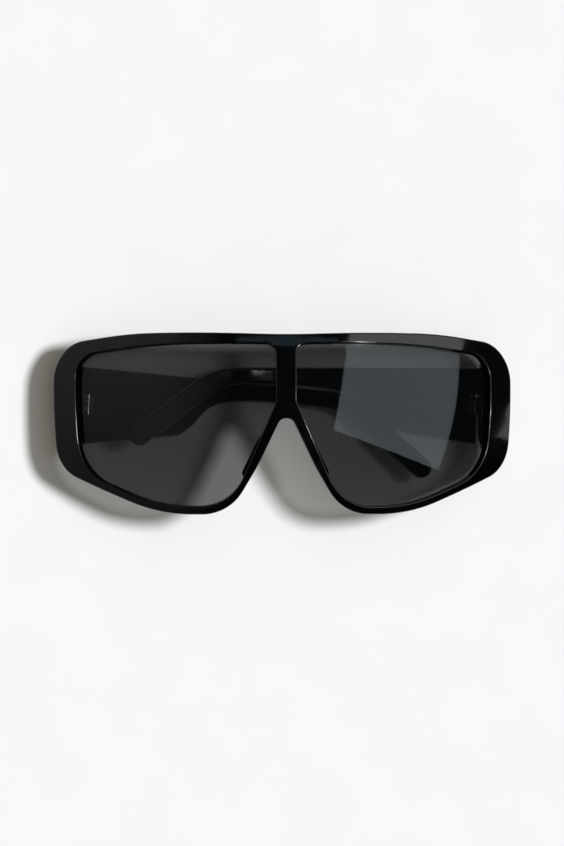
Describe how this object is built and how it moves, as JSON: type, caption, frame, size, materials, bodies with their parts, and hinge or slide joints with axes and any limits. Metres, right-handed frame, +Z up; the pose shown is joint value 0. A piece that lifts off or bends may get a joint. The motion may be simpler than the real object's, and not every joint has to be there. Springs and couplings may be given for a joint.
{
  "type": "shield sunglasses",
  "caption": "Glossy black flat-top shield sunglasses with one dark curved lens behind a full rim and temples that fold on metal hinges.",
  "frame": {"origin": "on the table, under the middle of the folded sunglasses' bounding box", "axes": "+X along the brow to the right as seen from the front, +Y from the cheeks to the brow, +Z up and out of the front, with the temples folded beneath"},
  "size_m": [0.1496, 0.0584, 0.0419],
  "materials": {
    "frame_plastic": "gloss",
    "lens_plastic": "gloss",
    "hinge_steel": "brushed",
    "screw_steel": "polished"
  },
  "bodies": {
    "front": {"front_frame": "frame_plastic", "shield_lens": "lens_plastic", "front_hinge_leaf_left": "hinge_steel", "front_hinge_leaf_right": "hinge_steel", "hinge_screw_left": "screw_steel", "hinge_screw_right": "screw_steel"},
    "left_temple": {"temple_left": "frame_plastic", "temple_hinge_leaf_left": "hinge_steel"},
    "right_temple": {"temple_right": "frame_plastic", "temple_hinge_leaf_right": "hinge_steel"}
  },
  "joints": [
    {"name": "left_temple_hinge", "type": "hinge", "parent": "front", "child": "left_temple", "pos_m": [-0.0638, 0.006, 0.0064], "axis": [0.0489, 0.9988, 0], "range_deg": [0, 93]},
    {"name": "right_temple_hinge", "type": "hinge", "parent": "front", "child": "right_temple", "pos_m": [0.0638, 0.006, 0.0064], "axis": [-0.0489, -0.9988, 0], "range_deg": [0, 95.19]}
  ]
}
